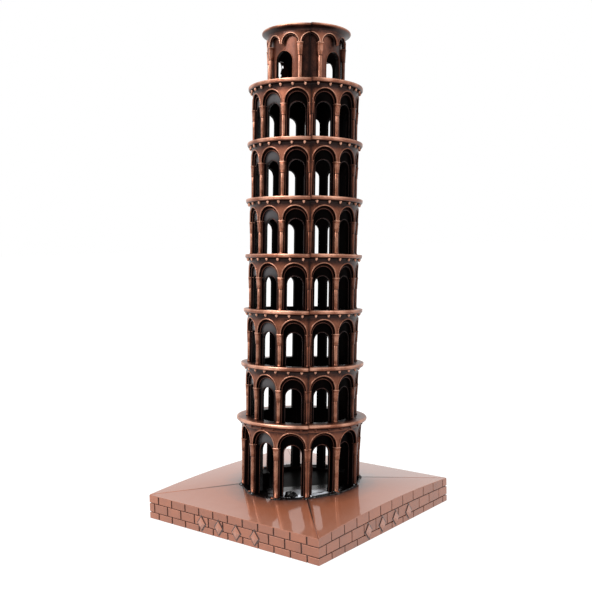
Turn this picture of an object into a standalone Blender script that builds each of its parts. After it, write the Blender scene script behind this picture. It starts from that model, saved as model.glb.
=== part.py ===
"""Miniature leaning bell tower on a square brick plinth, a cast souvenir with an antique copper finish.

The tower is cast as two hollow half shells that meet on one upright plane through two opposite columns.
Each half shell is divided at its cornices into storeys. Two screws from under the plinth hold them down.
Metres, +Z up, origin at the centre of the plinth's underside, plinth sides along X and Y.
"""

import math
from collections import namedtuple

import bmesh
import bpy
from mathutils import Matrix, Vector

MM = 0.001

# Driving dimensions
GAP = 0.3 * MM                  # clearance between pieces that touch on the real object
PLINTH_SIDE = 80.0 * MM
EAVE_HEIGHT = 9.0 * MM          # top edge of the brick sides
HIP_RISE = 4.0 * MM             # how far the hipped top climbs from the eaves to its peak
EAVE_BOW = 1.5 * MM             # upward bow of the two eaves that cross the X axis
WALL_PLINTH = 3.0 * MM
DECK_UNDERSIDE = 6.0 * MM
SEAT_HEIGHT = 10.4 * MM         # flat seat in the hipped top, under the tower's foot
SEAT_ALLOWANCE = 0.1 * MM       # extra clearance round the leaning foot
PAD_THICKNESS = 1.2 * MM
PAD_LEDGE = 1.2 * MM            # width of the ledge that the pad is stuck to
PAD_ROUNDING = 0.2 * MM

TOWER_LEAN = math.radians(4.1)
LEAN_HEADING = math.radians(95.3)   # compass direction of the lean, from +X towards +Y
TOWER_FOOT_X = 0.6 * MM
TOWER_FOOT_Y = -1.0 * MM
SEAM_ANGLE = math.radians(-45.0)    # the half shells part on this direction, at a plinth corner
BAYS = 12
HOLE_SEGMENTS = 16
FACETS = 24                     # flats round each turned storey; their edges miss the columns and crowns

# Each storey: name, top of its cornice along the tower's axis, cornice radius, radius of the column faces (mm)
STOREYS = (
    ("ground_arcade", 36.4, 24.4, 22.3),
    ("gallery_1", 56.6, 23.0, 21.0),
    ("gallery_2", 76.6, 22.3, 20.7),
    ("gallery_3", 96.7, 21.9, 20.4),
    ("gallery_4", 117.1, 21.8, 20.2),
    ("gallery_5", 138.0, 21.5, 19.9),
    ("gallery_6", 158.5, 21.3, 19.7),
    ("belfry", 178.8, 16.5, 14.6),
)
RIM_HEIGHT = 1.6 * MM           # flat band round the edge of each cornice
CORNICE_HEIGHT = 3.0 * MM       # rim and the slope under it
TERRACE_HEIGHT = 2.0 * MM       # floor ring that carries the narrower belfry

# Arches of each kind of storey, in mm. The heights are measured down from the storey's top: crown and springing
# of the outer arches, neck where the columns' capitals begin, crown of the window in the inner wall. depth is
# from the columns' faces back to the inner wall, wall is that wall's thickness, and rib is the metal left between
# two arches where they spring.
Arches = namedtuple("Arches", "crown springing neck window_crown window_half depth wall rib")
GROUND_ARCHES = Arches(2.9, 8.7, 13.0, 7.7, 3.35, 2.4, 1.7, 1.0)
GALLERY_ARCHES = Arches(3.2, 8.5, 12.4, 7.8, 3.0, 1.5, 1.2, 1.0)
BELFRY_ARCHES = Arches(2.8, 6.3, 10.7, 8.4, 4.0, 1.5, 1.4, 0.8)
PENDANT_DROP = 0.4 * MM         # how far the belfry's pendants hang below the arches' springing

SHAFT_WIDTH = 1.7 * MM
ABACUS_WIDTH = 2.3 * MM
ARCH_SEGMENTS = 8
WINDOW_SEGMENTS = 6

SCREW_RING = 15.2 * MM          # distance of each screw from the tower's axis
SHANK_RADIUS = 1.45 * MM
HEAD_RADIUS = 2.8 * MM
HEAD_HEIGHT = 1.8 * MM
BOSS_RADIUS = 3.2 * MM
BOSS_TOP = 15.0 * MM
BOSS_HOLE_TOP = 14.2 * MM
SHANK_TOP = 13.7 * MM
SHANK_TIP_LENGTH = 1.2 * MM
SHANK_TIP_RADIUS = 1.05 * MM
HEAD_BEVEL = 0.5 * MM
CROSS_HALF_LENGTH = 1.6 * MM
CROSS_HALF_WIDTH = 0.35 * MM
CROSS_DEPTH = 0.9 * MM

LOZENGES = 4                    # raised ornaments on each side of the plinth
LOZENGE_PITCH = 8.4 * MM
LOZENGE_HEIGHT = 3.5 * MM       # of their centres
LOZENGE_HALF_WIDTH = 1.9 * MM
LOZENGE_HALF_HEIGHT = 2.5 * MM
LOZENGE_RELIEF = 0.8 * MM

OVERCUT = 1.0 * MM              # how far a cutter passes through the face it opens
OVERLAP = 0.2 * MM              # how far two joined cutters run into each other
NICHE_REACH = 1.3               # how far out the niches' cutters go, as a share of the column faces' radius
WINDOW_REACH = 0.5, 1.2         # the same for the windows' cutters: from here in the wall's radius, out to there
BEYOND = 60.0 * MM              # clear of the whole tower, sideways
ABOVE = 220.0 * MM              # clear of the whole tower, upwards
FOOT_PLANE = SEAT_HEIGHT + GAP
HALF_BAY = math.pi / BAYS
COPPER = (0.44, 0.20, 0.12)


def clear_scene():
    for obj in list(bpy.data.objects):
        bpy.data.objects.remove(obj, do_unlink=True)


def new_collection(name):
    collection = bpy.data.collections.new(name)
    bpy.context.scene.collection.children.link(collection)
    return collection


def make_material(name, color, roughness, metallic):
    material = bpy.data.materials.new(name)
    material.use_nodes = True
    shader = material.node_tree.nodes["Principled BSDF"]
    shader.inputs["Base Color"].default_value = (*color, 1.0)
    shader.inputs["Roughness"].default_value = roughness
    shader.inputs["Metallic"].default_value = metallic
    material.diffuse_color = (*color, 1.0)
    return material


clear_scene()
PARTS = new_collection("leaning_tower_souvenir")
CUTTERS = new_collection("cutters")


def object_from_bmesh(name, bm, collection, parent=None):
    bmesh.ops.recalc_face_normals(bm, faces=bm.faces[:])
    mesh = bpy.data.meshes.new(name)
    bm.to_mesh(mesh)
    bm.free()
    obj = bpy.data.objects.new(name, mesh)
    collection.objects.link(obj)
    obj.parent = parent
    return obj


def as_cutter(obj):
    obj.hide_render = True
    obj.display_type = "WIRE"
    return obj


def boolean(obj, other, operation):
    modifier = obj.modifiers.new(other.name, "BOOLEAN")
    modifier.operation = operation
    modifier.solver = "EXACT"
    modifier.object = other


def box_mesh(bm, low, high):
    """Add a box between two corners to a bmesh."""
    size = Vector(high) - Vector(low)
    centre = (Vector(high) + Vector(low)) / 2
    place = Matrix.Translation(centre) @ Matrix.Diagonal((*size, 1.0))
    bmesh.ops.create_cube(bm, size=1.0, matrix=place)


def box_cutter(name, low, high, parent=None):
    bm = bmesh.new()
    box_mesh(bm, low, high)
    return as_cutter(object_from_bmesh(name, bm, CUTTERS, parent))


def cylinder_mesh(bm, radius, low, high, centre, segments=24):
    place = Matrix.Translation((centre[0], centre[1], (low + high) / 2))
    bmesh.ops.create_cone(bm, cap_ends=True, segments=segments, radius1=radius, radius2=radius,
                          depth=high - low, matrix=place)


def cylinder_cutter(name, radius, low, high, centre, segments=24):
    bm = bmesh.new()
    cylinder_mesh(bm, radius, low, high, centre, segments)
    return as_cutter(object_from_bmesh(name, bm, CUTTERS))


def turned_ring(name, profile, parent):
    """Turn a closed (radius, height) outline, given down its outer side, about the tower's axis."""
    bm = bmesh.new()
    points = [bm.verts.new((radius, 0.0, height)) for radius, height in profile]
    for index, point in enumerate(points):
        bm.edges.new((point, points[(index + 1) % len(points)]))
    mesh = bpy.data.meshes.new(name)
    bm.to_mesh(mesh)
    bm.free()
    obj = bpy.data.objects.new(name, mesh)
    PARTS.objects.link(obj)
    obj.parent = parent
    obj.rotation_euler.z = SEAM_ANGLE + math.pi / FACETS
    screw = obj.modifiers.new("turn", "SCREW")
    screw.angle = math.tau
    screw.steps = FACETS
    screw.render_steps = FACETS
    screw.use_merge_vertices = True
    screw.merge_threshold = 0.00001
    return obj


def arc(radius, centre_height, segments):
    """Points of an arch from its right springing over the crown to its left one."""
    points = []
    for step in range(segments + 1):
        angle = math.pi * step / segments
        points.append((radius * math.cos(angle), centre_height + radius * math.sin(angle)))
    return points


def column_side(half_width, bottom, top, arches):
    """Right side of a niche: up the shaft, then out along the capital to its abacus."""
    shaft = half_width - SHAFT_WIDTH / 2
    abacus = half_width - ABACUS_WIDTH / 2
    return [(shaft, bottom), (shaft, top - arches.neck * MM), (abacus, top - arches.springing * MM)]


def mirrored(points):
    return [(-u, height) for u, height in reversed(points)]


def wedge(bm, outline, angle, ref_radius, inner, outer):
    """Add a radial prism: the outline is drawn at ref_radius and narrows towards the axis."""
    rings = []
    for distance in (inner, outer):
        scale = distance / ref_radius
        ring = []
        for u, height in outline:
            across = u * scale
            x = distance * math.cos(angle) - across * math.sin(angle)
            y = distance * math.sin(angle) + across * math.cos(angle)
            ring.append(bm.verts.new((x, y, height)))
        rings.append(ring)
    near, far = rings
    bm.faces.new(near)
    bm.faces.new(list(reversed(far)))
    count = len(outline)
    for index in range(count):
        following = (index + 1) % count
        bm.faces.new((near[following], near[index], far[index], far[following]))


def bay_cutter(name, outlines, ref_radius, inner, outer, parent):
    """One cutter object out of (angle, outline) pairs that don't touch each other."""
    bm = bmesh.new()
    for angle, outline in outlines:
        wedge(bm, outline, angle, ref_radius, inner, outer)
    return as_cutter(object_from_bmesh(name, bm, CUTTERS, parent))


def arch_between(half_width, top, arches):
    """Outline of the outer arch of a bay that is half_width wide, right side first."""
    radius = half_width - arches.rib * MM / 2
    centre = max(top - arches.crown * MM - radius, top - arches.springing * MM)
    return arc(radius, centre, ARCH_SEGMENTS)


def window_outline(bottom, top, arches):
    half_width = arches.window_half * MM
    side = [(half_width, bottom)]
    crown = top - arches.window_crown * MM
    return side + arc(half_width, crown - half_width, WINDOW_SEGMENTS) + mirrored(side)


def cornice_profile(top, bottom, rim_radius, face_radius, inner_radius):
    """Closed storey section, from the top of the rim down the outside and up the inside."""
    return [
        (rim_radius, top),
        (rim_radius, top - RIM_HEIGHT),
        (face_radius, top - CORNICE_HEIGHT),
        (face_radius, bottom),
        (inner_radius, bottom),
        (inner_radius, top),
    ]


def make_tower_axis():
    """Empty whose Z axis is the leaning axis of the tower."""
    axis = bpy.data.objects.new("tower_axis", None)
    CUTTERS.objects.link(axis)
    heading = Vector((math.cos(LEAN_HEADING), math.sin(LEAN_HEADING), 0.0))
    turn_about = Vector((0.0, 0.0, 1.0)).cross(heading)
    place = Matrix.Translation((TOWER_FOOT_X, TOWER_FOOT_Y, 0.0))
    axis.matrix_world = place @ Matrix.Rotation(TOWER_LEAN, 4, turn_about)
    return axis


def bay_angles(offset=0.0):
    """Directions of the bay centres; the columns stand halfway between them."""
    return [SEAM_ANGLE + offset + math.tau * bay / BAYS for bay in range(BAYS)]


def seam_cutters(axis):
    """Two boxes, each of which leaves one half of the tower and half of the seam's clearance."""
    cutters = {}
    for side, sign in (("right", -1.0), ("left", 1.0)):
        near = -sign * GAP / 2
        far = sign * BEYOND
        low = (min(near, far), -BEYOND, -BEYOND)
        high = (max(near, far), BEYOND, ABOVE)
        cutter = box_cutter("seam_" + side, low, high, axis)
        cutter.rotation_euler.z = SEAM_ANGLE + math.pi / 2
        cutters[side] = cutter
    return cutters


def arches_of(name):
    if name == "belfry":
        return BELFRY_ARCHES
    return GROUND_ARCHES if name == "ground_arcade" else GALLERY_ARCHES


def niche_cutter(name, outlines, face, wall, axis):
    return bay_cutter(name, outlines, face, wall, face * NICHE_REACH, axis)


def window_cutter(name, outlines, face, wall, axis):
    return bay_cutter(name, outlines, wall, wall * WINDOW_REACH[0], face * WINDOW_REACH[1], axis)


def gallery_cutters(name, bottom, top, face, axis):
    """Niches and through windows of a storey with twelve equal bays."""
    arches = arches_of(name)
    below = bottom - OVERCUT
    half_width = face * math.tan(HALF_BAY)
    side = column_side(half_width, below, top, arches)
    niche = side + arch_between(half_width, top, arches) + mirrored(side)
    window = window_outline(below - OVERCUT, top, arches)
    wall = face - arches.depth * MM
    angles = bay_angles(HALF_BAY)
    niches = niche_cutter(name + "_niches", [(angle, niche) for angle in angles], face, wall, axis)
    windows = window_cutter(name + "_windows", [(angle, window) for angle in angles], face, wall, axis)
    return [niches, windows]


def belfry_cutters(name, bottom, top, face, axis):
    """Four plain bays, and between them four double bays whose two arches meet on a pendant."""
    arches = arches_of(name)
    below = bottom - OVERCUT
    half_width = face * math.tan(HALF_BAY)
    side = column_side(half_width, below, top, arches)
    arch = arch_between(half_width, top, arches)
    pendant_tip = top - arches.springing * MM - PENDANT_DROP
    merge = half_width + OVERLAP
    open_side = [(merge, below), (merge, pendant_tip), (arch[0][0], pendant_tip)]
    plain = side + arch + mirrored(side)
    open_right = open_side + arch + mirrored(side)
    open_left = side + arch + mirrored(open_side)
    window = window_outline(below - OVERCUT, top, arches)
    wall = face - arches.depth * MM
    first = []
    second = []
    windows = []
    for centre in [SEAM_ANGLE + quarter * math.pi / 2 for quarter in range(4)]:
        first.append((centre, plain))
        first.append((centre + 2 * HALF_BAY, open_right))
        second.append((centre - 2 * HALF_BAY, open_left))
        windows.append((centre + 3 * HALF_BAY, window))
    return [
        niche_cutter(name + "_niches_a", first, face, wall, axis),
        niche_cutter(name + "_niches_b", second, face, wall, axis),
        window_cutter(name + "_windows", windows, face, wall, axis),
    ]


def inner_radius(name, face):
    """Radius of the well down the middle of a storey."""
    arches = arches_of(name)
    return face - (arches.depth + arches.wall) * MM


def storey_profile(name, bottom, top, rim, face, belfry_inner):
    if name == "belfry":
        return cornice_profile(top, bottom, rim, face, belfry_inner)
    inner = inner_radius(name, face)
    profile = cornice_profile(top, bottom, rim, face, inner)
    if name == "gallery_6":
        profile[-1:] = [
            (inner, top - TERRACE_HEIGHT),
            (belfry_inner, top - TERRACE_HEIGHT),
            (belfry_inner, top),
        ]
    return profile


def screw_places():
    """World X and Y of the two screws, opposite each other across the seam."""
    middle = axis_point((FOOT_PLANE + BOSS_TOP) / 2)
    places = {}
    for side, turn in (("right", math.pi / 2), ("left", -math.pi / 2)):
        angle = SEAM_ANGLE + turn
        across = Vector((math.cos(angle), math.sin(angle))) * SCREW_RING
        places[side] = (middle.x + across.x, middle.y + across.y)
    return places


def axis_point(height):
    """World point of the tower's axis at a height above the plinth's underside."""
    offset = height * math.tan(TOWER_LEAN)
    x = TOWER_FOOT_X + offset * math.cos(LEAN_HEADING)
    y = TOWER_FOOT_Y + offset * math.sin(LEAN_HEADING)
    return Vector((x, y, height))


def add_boss(shell, side, place, axis):
    """Screw boss inside the foot of a half shell, cut level with the foot."""
    bm = bmesh.new()
    cylinder_mesh(bm, BOSS_RADIUS, FOOT_PLANE - 3 * OVERCUT, BOSS_TOP, place)
    boss = as_cutter(object_from_bmesh("boss_" + side, bm, CUTTERS))
    boolean(shell, boss, "UNION")
    foot = box_cutter("foot_" + side, (-BEYOND, -BEYOND, -BEYOND), (BEYOND, BEYOND, FOOT_PLANE))
    boolean(shell, foot, "DIFFERENCE")
    hole = cylinder_cutter("boss_hole_" + side, SHANK_RADIUS + GAP, 0.0, BOSS_HOLE_TOP, place, HOLE_SEGMENTS)
    boolean(shell, hole, "DIFFERENCE")


def make_tower(axis, places):
    sides = seam_cutters(axis)
    bottom = SEAT_HEIGHT / 2    # the ground arcade is trimmed level with its seat afterwards
    belfry_inner = inner_radius("belfry", STOREYS[-1][3] * MM)
    for name, top_mm, rim_mm, face_mm in STOREYS:
        top, rim, face = top_mm * MM, rim_mm * MM, face_mm * MM
        make_cutters = belfry_cutters if name == "belfry" else gallery_cutters
        cutters = make_cutters(name, bottom, top, face, axis)
        profile = storey_profile(name, bottom, top, rim, face, belfry_inner)
        for side in ("left", "right"):
            shell = turned_ring(name + "_" + side, profile, axis)
            for cutter in cutters:
                boolean(shell, cutter, "DIFFERENCE")
            boolean(shell, sides[side], "DIFFERENCE")
            if name == "ground_arcade":
                add_boss(shell, side, places[side], axis)
            shell.data.materials.append(make_material(shell.name, COPPER, 0.35, 0.9))
        bottom = top + GAP


def hip_height(x, y):
    """Height of the plinth's top: a low hipped roof with the two eaves that cross X bowed upwards."""
    half = PLINTH_SIDE / 2
    reach = max(abs(x), abs(y)) / half
    height = EAVE_HEIGHT + HIP_RISE * (1.0 - reach)
    if abs(x) > abs(y):
        height += EAVE_BOW * reach * (1.0 - (y / x) ** 2)
    return height


def square_ring(size, steps):
    """Points round a square of the given half size, steps to each side."""
    corners = [(-1, -1), (1, -1), (1, 1), (-1, 1)]
    points = []
    for index, (x0, y0) in enumerate(corners):
        x1, y1 = corners[(index + 1) % 4]
        for step in range(steps):
            share = step / steps
            points.append((size * (x0 + (x1 - x0) * share), size * (y0 + (y1 - y0) * share)))
    return points


def plinth_body():
    """Solid plinth: straight sides, and the hipped top as square rings that climb to the peak."""
    half = PLINTH_SIDE / 2
    steps = 8
    bm = bmesh.new()
    rings = [[bm.verts.new((x, y, 0.0)) for x, y in square_ring(half, steps)]]
    for share in (1.0, 0.5):
        ring = [bm.verts.new((x, y, hip_height(x, y))) for x, y in square_ring(half * share, steps)]
        rings.append(ring)
    count = len(rings[0])
    for lower, upper in zip(rings, rings[1:]):
        for index in range(count):
            following = (index + 1) % count
            bm.faces.new((lower[index], lower[following], upper[following], upper[index]))
    peak = bm.verts.new((0.0, 0.0, EAVE_HEIGHT + HIP_RISE))
    for index in range(count):
        bm.faces.new((rings[-1][index], rings[-1][(index + 1) % count], peak))
    bm.faces.new(list(reversed(rings[0])))
    return object_from_bmesh("base_casting", bm, PARTS)


def lozenge_studs():
    """A row of raised lozenges in the middle of each brick side, as plain ornament."""
    bm = bmesh.new()
    shape = Matrix.Diagonal((LOZENGE_HALF_WIDTH, LOZENGE_RELIEF, LOZENGE_HALF_HEIGHT, 1.0))
    for side in range(4):
        turn = Matrix.Rotation(side * math.pi / 2, 4, "Z")
        for index in range(LOZENGES):
            across = (index - (LOZENGES - 1) / 2) * LOZENGE_PITCH
            place = turn @ Matrix.Translation((across, -PLINTH_SIDE / 2, LOZENGE_HEIGHT)) @ shape
            rings = []
            for depth in (-1, 1):
                corners = ((-1, depth, 0), (0, depth, -1), (1, depth, 0), (0, depth, 1))
                rings.append([bm.verts.new(place @ Vector(corner)) for corner in corners])
            front, back = rings
            bm.faces.new(front)
            bm.faces.new(list(reversed(back)))
            for corner in range(4):
                following = (corner + 1) % 4
                bm.faces.new((front[following], front[corner], back[corner], back[following]))
    return as_cutter(object_from_bmesh("lozenge_studs", bm, CUTTERS))


def make_base(places):
    base = plinth_body()
    boolean(base, lozenge_studs(), "UNION")
    half = PLINTH_SIDE / 2
    inner = half - WALL_PLINTH
    ledge = inner + PAD_LEDGE
    below = -2 * OVERCUT
    hollow = box_cutter("hollow", (-inner, -inner, below), (inner, inner, DECK_UNDERSIDE))
    boolean(base, hollow, "DIFFERENCE")
    rebate = box_cutter("pad_rebate", (-ledge, -ledge, below), (ledge, ledge, PAD_THICKNESS + GAP))
    boolean(base, rebate, "DIFFERENCE")
    seat_centre = axis_point(SEAT_HEIGHT)
    seat_radius = STOREYS[0][3] * MM / math.cos(TOWER_LEAN) + GAP + SEAT_ALLOWANCE
    seat_top = EAVE_HEIGHT + HIP_RISE + OVERCUT
    seat = cylinder_cutter("seat", seat_radius, SEAT_HEIGHT, seat_top, seat_centre, FACETS)
    boolean(base, seat, "DIFFERENCE")
    for side, place in places.items():
        hole = cylinder_cutter("base_hole_" + side, SHANK_RADIUS + GAP, DECK_UNDERSIDE - OVERCUT, seat_top,
                               place, HOLE_SEGMENTS)
        boolean(base, hole, "DIFFERENCE")
    base.data.materials.append(make_material("base_casting", COPPER, 0.22, 0.9))


def make_pad():
    bm = bmesh.new()
    half = PLINTH_SIDE / 2 - WALL_PLINTH + PAD_LEDGE - GAP
    box_mesh(bm, (-half, -half, 0.0), (half, half, PAD_THICKNESS))
    pad = object_from_bmesh("base_pad", bm, PARTS)
    bevel = pad.modifiers.new("rounded_edges", "BEVEL")
    bevel.width = PAD_ROUNDING
    bevel.segments = 1
    pad.data.materials.append(make_material("base_pad", (0.03, 0.03, 0.03), 0.9, 0.0))


def make_screw(side, place):
    """Pan-head screw, head down under the plinth's deck, with a cross recess."""
    head_top = DECK_UNDERSIDE - GAP
    head_bottom = head_top - HEAD_HEIGHT
    profile = [
        (0.0, SHANK_TOP),
        (SHANK_TIP_RADIUS, SHANK_TOP),
        (SHANK_RADIUS, SHANK_TOP - SHANK_TIP_LENGTH),
        (SHANK_RADIUS, head_top),
        (HEAD_RADIUS, head_top),
        (HEAD_RADIUS, head_bottom + HEAD_BEVEL),
        (HEAD_RADIUS - HEAD_BEVEL, head_bottom),
        (0.0, head_bottom),
    ]
    bm = bmesh.new()
    points = [bm.verts.new((radius, 0.0, height)) for radius, height in profile]
    for first, second in zip(points, points[1:]):
        bm.edges.new((first, second))
    mesh = bpy.data.meshes.new("fixing_screw_" + side)
    bm.to_mesh(mesh)
    bm.free()
    screw = bpy.data.objects.new("fixing_screw_" + side, mesh)
    PARTS.objects.link(screw)
    screw.location = (*place, 0.0)
    turn = screw.modifiers.new("turn", "SCREW")
    turn.angle = math.tau
    turn.steps = HOLE_SEGMENTS
    turn.render_steps = HOLE_SEGMENTS
    turn.use_merge_vertices = True
    turn.merge_threshold = 0.00001
    slots = (("slot_a", CROSS_HALF_LENGTH, CROSS_HALF_WIDTH), ("slot_b", CROSS_HALF_WIDTH, CROSS_HALF_LENGTH))
    for name, half_x, half_y in slots:
        low = (place[0] - half_x, place[1] - half_y, head_bottom - OVERCUT)
        high = (place[0] + half_x, place[1] + half_y, head_bottom + CROSS_DEPTH)
        boolean(screw, box_cutter(name + "_" + side, low, high), "DIFFERENCE")
    screw.data.materials.append(make_material(screw.name, (0.5, 0.5, 0.48), 0.3, 1.0))


def main():
    axis = make_tower_axis()
    places = screw_places()
    make_base(places)
    make_pad()
    for side, place in places.items():
        make_screw(side, place)
    make_tower(axis, places)


main()
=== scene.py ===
"""Looks of the leaning tower souvenir: a cast, antique copper bell tower on a brick-sided plinth.

Every storey of each half shell becomes a detailed casting: cornice, drop-shaped corbels, arches of two orders,
columns and through windows. The plinth gets its bricks, its creased top and plain raised lozenges. Metres, +Z up.
"""

import random
from math import atan2, copysign, cos, degrees, exp, hypot, pi, radians, sin, sqrt, tan, tau

import bmesh
import bpy
from mathutils import Matrix, Vector, noise


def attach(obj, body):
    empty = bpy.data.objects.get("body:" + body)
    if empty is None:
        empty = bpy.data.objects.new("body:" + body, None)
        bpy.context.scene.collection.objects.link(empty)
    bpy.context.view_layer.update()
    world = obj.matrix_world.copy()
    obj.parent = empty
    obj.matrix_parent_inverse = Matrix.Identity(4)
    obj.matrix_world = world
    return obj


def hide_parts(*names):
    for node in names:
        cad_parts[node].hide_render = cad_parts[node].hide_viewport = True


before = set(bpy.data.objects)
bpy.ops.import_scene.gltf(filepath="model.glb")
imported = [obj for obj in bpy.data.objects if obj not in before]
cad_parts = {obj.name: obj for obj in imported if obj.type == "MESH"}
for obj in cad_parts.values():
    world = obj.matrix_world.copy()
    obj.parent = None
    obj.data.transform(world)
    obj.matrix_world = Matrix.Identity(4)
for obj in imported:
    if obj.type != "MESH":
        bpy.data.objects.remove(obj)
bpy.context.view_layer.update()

MM = 0.001

# The CAD model's driving dimensions
TOWER_LEAN = radians(4.1)
LEAN_HEADING = radians(95.3)
TOWER_FOOT = Vector((0.6 * MM, -1.0 * MM, 0.0))
SEAM_ANGLE = radians(-45.0)
SEAT_HEIGHT = 10.4 * MM
HIP_RISE = 4.0 * MM
EAVE_BOW = 1.5 * MM
EAVE_HEIGHT = 9.0 * MM
DECK_UNDERSIDE = 6.0 * MM
PLINTH_HALF = 40.0 * MM
BAYS = 12
HALF_BAY = pi / BAYS
STOREYS = (
    # name, top along the tower's axis, cornice radius, radius of the column faces (mm)
    ("ground_arcade", 36.4, 24.4, 22.3),
    ("gallery_1", 56.6, 23.0, 21.0),
    ("gallery_2", 76.6, 22.3, 20.7),
    ("gallery_3", 96.7, 21.9, 20.4),
    ("gallery_4", 117.1, 21.8, 20.2),
    ("gallery_5", 138.0, 21.5, 19.9),
    ("gallery_6", 158.5, 21.3, 19.7),
    ("belfry", 178.8, 16.5, 14.6),
)
FLOOR_RADIUS = 18.0 * MM    # of the flat floor inside the tower's foot
BELFRY_WELL = 11.7 * MM     # radius of the opening down through the belfry
TERRACE_HEIGHT = 2.0 * MM   # floor ring that carries the narrower belfry
SEAM_SHIFT = 0.025 * MM     # half the width of the hairline between the two half shells
SEAM_STEP = 0.2 * MM        # the left half sits this much lower
SEAM_SHADE = 1.3 * MM       # how far the patina and painted shade spread from the seam on the walls and columns
CORNICE_DEPTH = 2.9 * MM    # from a cornice's top to the wall below it
CORBELS = 28
COLUMN_DEPTH = 0.72 * MM    # from a column's face to its middle
ARC_STEPS = 18              # faces round an arch
JAMB_STEPS = 3              # faces up each side of an opening
EAVE_EDGE = 0.3 * MM        # height of the strip above the top course's joints
JOINT_DEPTH = 0.4 * MM      # of the joints between the bricks
PAINTED_SHADE_SIDE = radians(39.0)   # direction of the side with painted shade, darker as if less lit
PAINTED_SHEEN_SIDE = radians(-105.0)    # direction of the side with painted sheen on the lacquer

# How rubbed each kind of surface is: 0 is black patina, 1 is bright bare copper; in places the same scale also
# carries painted shade, painted sheen and painted glints
RUBBED = 0.95
RAISED = 0.8
FACE = 0.66
PAINTED_GLINT = 0.6                  # painted glint: a small pale lump on the lacquer
MORTAR = 0.5
DULL = 0.45
# patina with painted shade: the dim corbels under the ground arcade's cornice and the flat ring round each lozenge
PATINA_AND_SHADE = 0.4
SHADED = 0.3
# patina with painted shade, under a cornice's rim
PATINA_AND_SHADE_UNDER_RIM = 0.22
RECESS = 0.1
INSIDE = 0.0
DEAD_BLACK = 0.12           # up to here a face gets the patina's own material
LACQUER_AND_SHEEN = 2                 # index of the material for pooled lacquer, which also carries painted sheen, painted glints and a painted reflection


def lerp(a, b, share):
    return a + (b - a) * share


def clamp(value):
    return min(max(value, 0.0), 1.0)


def smooth(share):
    """Ease a share in and out between 0 and 1."""
    share = clamp(share)
    return share * share * (3.0 - 2.0 * share)


def polar(radius, angle, height):
    return Vector((radius * cos(angle), radius * sin(angle), height))


def sideways(angle):
    """Level direction across the one at an angle."""
    return Vector((-sin(angle), cos(angle), 0.0))


def quads(rows):
    """The quads between neighbouring rings of points, as (row, index, corners)."""
    count = len(rows[0])
    for row, (low, high) in enumerate(zip(rows, rows[1:])):
        for index in range(count):
            following = (index + 1) % count
            yield row, index, (low[index], low[following], high[following], high[index])


class Casting:
    """A mesh in the making, with a value at every face corner for wear and, in places, painted light."""

    def __init__(self):
        self.bm = bmesh.new()
        self.wear_and_painted_light = self.bm.loops.layers.float.new("wear_and_painted_light")

    def vertex(self, point):
        return self.bm.verts.new(point)

    def face(self, corners, wears, material=None):
        face = self.bm.faces.new(corners)
        face.smooth = True
        face.material_index = int(max(wears) <= DEAD_BLACK) if material is None else material
        for loop, value in zip(face.loops, wears):
            loop[self.wear_and_painted_light] = value
        return face

    def even_face(self, corners, wear_and_painted_light):
        return self.face(corners, [wear_and_painted_light] * len(corners))

    def rings(self, loops, wears):
        """Quads between neighbouring loops of vertices; wears holds one value for each loop."""
        for row, _, corners in quads(loops):
            low, high = wears[row:row + 2]
            self.face(corners, (low, low, high, high))

    def circle(self, centre, radius, z, count):
        return [self.vertex((centre.x + radius * cos(tau * i / count),
                             centre.y + radius * sin(tau * i / count), z)) for i in range(count)]

    def corners(self):
        """Every face corner, as (face, corner, place)."""
        for face in self.bm.faces:
            for loop in face.loops:
                yield face, loop, loop.vert.co

    def fan(self, loop, centre, wear_and_painted_light):
        tip = self.vertex(centre)
        for index in range(len(loop)):
            self.even_face((loop[index], loop[(index + 1) % len(loop)], tip), wear_and_painted_light)

    def merge(self, distance=0.002 * MM):
        bmesh.ops.remove_doubles(self.bm, verts=self.bm.verts[:], dist=distance)

    def drop_inner_faces(self):
        """Remove pairs of faces that share all their corners, where two blocks were welded together."""
        self.bm.verts.index_update()
        seen = {}
        for face in self.bm.faces:
            seen.setdefault(frozenset(v.index for v in face.verts), []).append(face)
        doubled = [face for group in seen.values() if len(group) > 1 for face in group]
        bmesh.ops.delete(self.bm, geom=doubled, context="FACES")

    def to_object(self, name, matrix=Matrix.Identity(4), sharp=38.0):
        self.bm.normal_update()
        bmesh.ops.recalc_face_normals(self.bm, faces=self.bm.faces[:])
        bmesh.ops.transform(self.bm, matrix=matrix, verts=self.bm.verts[:])
        mesh = bpy.data.meshes.new(name)
        self.bm.to_mesh(mesh)
        self.bm.free()
        mesh.set_sharp_from_angle(angle=radians(sharp))
        obj = bpy.data.objects.new(name, mesh)
        bpy.context.scene.collection.objects.link(obj)
        return obj


# ---------------- the tower's pieces

def tower_matrix():
    """Place of the tower: its local Z axis is the leaning axis."""
    return Matrix.Translation(TOWER_FOOT) @ Matrix.Rotation(TOWER_LEAN, 4, sideways(LEAN_HEADING))


def with_jambs(arc, bottom, top):
    """Points of an arch with the straight sides below it; each side stands under the arc's first or last point."""
    if top <= bottom:
        return arc
    left, right = arc[0][0], arc[-1][0]
    rises = [lerp(bottom, top, step / JAMB_STEPS) for step in range(JAMB_STEPS)]
    falls = [lerp(top, bottom, step / JAMB_STEPS) for step in range(1, JAMB_STEPS + 1)]
    return [(left, height) for height in rises] + arc + [(right, height) for height in falls]


def arch_points(half_width, bottom, crown):
    """Opening outline as (across, height), from its left foot over the crown to its right foot."""
    spring = crown - half_width
    arc = []
    for step in range(ARC_STEPS + 1):
        angle = pi * (1 - step / ARC_STEPS)
        arc.append((half_width * cos(angle), spring + half_width * sin(angle)))
    return with_jambs(arc, bottom, spring)


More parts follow.
